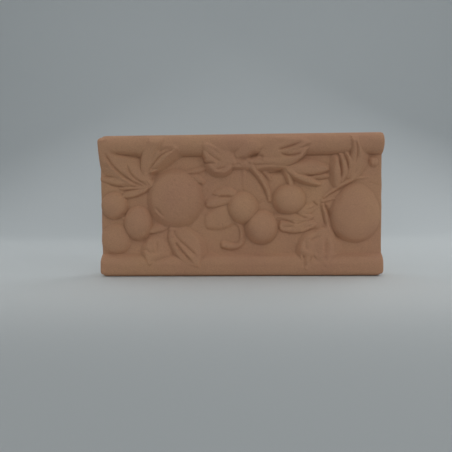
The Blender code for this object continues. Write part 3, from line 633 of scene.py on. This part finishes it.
# ---------------------------------------------------------------- clay
def clay():
    """Unglazed terracotta: warm body colour, faint cloudy variation, sandy grain, a dry rough skin, with painted shade
    darkening the hollows and a painted highlight lightening the crests.
    """
    material = bpy.data.materials.new("fired_clay")
    material.use_nodes = True
    tree = material.node_tree
    nodes, links = tree.nodes, tree.links
    nodes.clear()
    out = nodes.new("ShaderNodeOutputMaterial")
    shader = nodes.new("ShaderNodeBsdfPrincipled")
    shader.inputs["Metallic"].default_value = 0.0
    shader.inputs["Specular IOR Level"].default_value = 0.18
    links.new(shader.outputs["BSDF"], out.inputs["Surface"])
    place = nodes.new("ShaderNodeTexCoord").outputs["Object"]

    def noise(scale, detail, rough=0.5):
        n = nodes.new("ShaderNodeTexNoise")
        n.inputs["Scale"].default_value = scale
        n.inputs["Detail"].default_value = detail
        n.inputs["Roughness"].default_value = rough
        links.new(place, n.inputs["Vector"])
        return n.outputs["Fac"]

    def ramp(value, stops):
        r = nodes.new("ShaderNodeValToRGB")
        while len(r.color_ramp.elements) < len(stops):
            r.color_ramp.elements.new(0.5)
        for e, (at, colour) in zip(r.color_ramp.elements, stops):
            e.position = at
            e.color = colour
        links.new(value, r.inputs["Fac"])
        return r.outputs["Color"]

    def mix(kind, share, a, b):
        m = nodes.new("ShaderNodeMix")
        m.data_type = "RGBA"
        m.blend_type = kind
        m.inputs["Factor"].default_value = share
        links.new(a, m.inputs["A"])
        links.new(b, m.inputs["B"])
        return m.outputs["Result"]

    cloudy = ramp(noise(38, 4), [(0.30, (0.538, 0.288, 0.179, 1)), (0.52, (0.567, 0.312, 0.186, 1)),
                                 (0.72, (0.588, 0.331, 0.190, 1))])
    sandy = ramp(noise(2300, 3, 0.6), [(0.34, (0.88, 0.87, 0.86, 1)), (0.50, (0.99, 0.99, 0.99, 1)),
                                       (0.68, (1.07, 1.07, 1.06, 1))])
    grit = ramp(noise(5200, 1), [(0.27, (0.74, 0.71, 0.69, 1)), (0.34, (1, 1, 1, 1))])
    # painted shade and highlight: the colour is darkened in folds and creases and lightened on sharp crests
    hollow = nodes.new("ShaderNodeAttribute")
    hollow.attribute_name = "hollow"
    depth = nodes.new("ShaderNodeMapRange")
    depth.inputs["From Min"].default_value = -1.0
    links.new(hollow.outputs["Fac"], depth.inputs["Value"])
    painted_shade_and_highlight = ramp(depth.outputs["Result"], [(0.0, (1.03, 1.03, 1.03, 1)), (0.5, (1, 1, 1, 1)), (1.0, (0.82, 0.80, 0.78, 1))])
    colour = mix("MULTIPLY", 1.0, mix("MULTIPLY", 1.0, mix("MULTIPLY", 1.0, cloudy, sandy), grit), painted_shade_and_highlight)
    links.new(colour, shader.inputs["Base Color"])

    rough = nodes.new("ShaderNodeMapRange")
    rough.inputs["From Min"].default_value = 0.3
    rough.inputs["From Max"].default_value = 0.7
    rough.inputs["To Min"].default_value = 0.80
    rough.inputs["To Max"].default_value = 0.95
    links.new(noise(600, 3), rough.inputs["Value"])
    links.new(rough.outputs["Result"], shader.inputs["Roughness"])

    bump = nodes.new("ShaderNodeBump")
    bump.inputs["Strength"].default_value = 0.55
    bump.inputs["Distance"].default_value = 0.00012
    links.new(noise(2600, 4, 0.62), bump.inputs["Height"])
    broad = nodes.new("ShaderNodeBump")
    broad.inputs["Strength"].default_value = 0.35
    broad.inputs["Distance"].default_value = 0.0003
    links.new(noise(700, 3, 0.5), broad.inputs["Height"])
    links.new(bump.outputs["Normal"], broad.inputs["Normal"])
    links.new(broad.outputs["Normal"], shader.inputs["Normal"])
    return material


tile = tile_piece()
tile.data.materials.append(clay())
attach(tile, "root")
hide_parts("tile")


# ---------------------------------------------------------------- studio
FLOOR = -HEIGHT * 0.0005


def backdrop():
    """A pale sheet that lies flat under the tile and sweeps up behind it."""
    flat_to, bend, top, wide, front = 0.30, 0.35, 0.55, 4.0, -3.0
    line = [(front, FLOOR)] + [(front + (flat_to - front) * k / 12, FLOOR) for k in range(1, 13)]
    line += [(flat_to + bend * math.sin(a), FLOOR + bend * (1 - math.cos(a)))
             for a in (math.radians(90 * k / 24) for k in range(1, 25))]
    line += [(flat_to + bend, FLOOR + bend + top * k / 4) for k in range(1, 5)]
    bm = bmesh.new()
    rows = [[bm.verts.new((x, y, z)) for x in (-wide, wide)] for y, z in line]
    for a, b in zip(rows, rows[1:]):
        bm.faces.new((a[0], a[1], b[1], b[0]))
    mesh = bpy.data.meshes.new("backdrop")
    bm.to_mesh(mesh)
    bm.free()
    mesh.shade_smooth()
    sheet = bpy.data.objects.new("backdrop", mesh)
    bpy.context.scene.collection.objects.link(sheet)
    material = bpy.data.materials.new("pale_sheet")
    material.use_nodes = True
    shader = material.node_tree.nodes["Principled BSDF"]
    shader.inputs["Base Color"].default_value = (0.66, 0.685, 0.68, 1)
    shader.inputs["Roughness"].default_value = 0.9
    shader.inputs["Specular IOR Level"].default_value = 0.1
    mesh.materials.append(material)


def lamp(name, place, target, size, power, colour=(1, 1, 1), spread=180):
    data = bpy.data.lights.new(name, "AREA")
    data.shape = "RECTANGLE"
    data.size, data.size_y = size
    data.energy = power
    data.color = colour
    data.spread = math.radians(spread)
    o = bpy.data.objects.new(name, data)
    bpy.context.scene.collection.objects.link(o)
    o.location = place
    o.rotation_mode = "QUATERNION"
    o.rotation_quaternion = (Vector(target) - Vector(place)).to_track_quat("-Z", "Y")
    o.visible_camera = False


backdrop()
lamp("behind", (0.0, 0.20, 0.35), (0.0, 0.20, 0.0), (0.6, 0.06), 0.027, spread=60)
lamp("above", (0.0, 0.0, 0.35), (0.0, 0.0, 0.0), (0.6, 0.06), 0.024, spread=45)
lamp("above_behind", (0.0, 0.10, 0.45), (0.0, 0.10, 0.0), (0.8, 0.06), 0.024, spread=45)
lamp("above_front", (0.0, -0.30, 0.40), (0.0, 0.03, -0.03), (0.5, 0.06), 0.016, spread=45)
lamp("floor_front", (0.10, -0.055, 0.25), (0.10, -0.055, 0.0), (0.8, 0.03), 0.019, spread=30)
lamp("right_behind", (0.40, 0.25, 0.32), (0.20, 0.10, 0.0), (0.4, 0.3), 0.55, (0.97, 0.98, 1.0))
lamp("left_behind", (-0.40, 0.25, 0.32), (-0.20, 0.10, 0.0), (0.4, 0.3), 0.32, (0.97, 0.98, 1.0))
lamp("right_high", (0.45, -0.45, 0.35), (0.0, 0.0, 0.0), (0.15, 0.15), 0.052, spread=70)
lamp("front", (0.0, -0.85, 0.25), (0.0, 0.0, 0.0), (0.7, 0.5), 0.51)
lamp("sheet", (0.10, 0.10, 0.50), (0.10, 0.65, 0.35), (1.7, 0.2), 0.70, (0.93, 0.94, 1.0))

world = bpy.data.worlds.new("studio")
world.use_nodes = True
world.node_tree.nodes["Background"].inputs["Color"].default_value = (0.88, 0.95, 1.0, 1)
world.node_tree.nodes["Background"].inputs["Strength"].default_value = 0.30
bpy.context.scene.world = world

camera_data = bpy.data.cameras.new("camera")
camera_data.sensor_width = 36.0
camera_data.lens = 36.0 * 400 / 452
camera_data.clip_start, camera_data.clip_end = 0.01, 20
camera = bpy.data.objects.new("camera", camera_data)
bpy.context.scene.collection.objects.link(camera)
place = Matrix.Translation([0.001 * c for c in EYE])
camera.matrix_world = place @ EYE_TURN.to_4x4() @ Matrix.Rotation(math.radians(90), 4, "X")
bpy.context.scene.camera = camera

bpy.context.scene.view_settings.view_transform = "Standard"
bpy.context.scene.view_settings.look = "None"
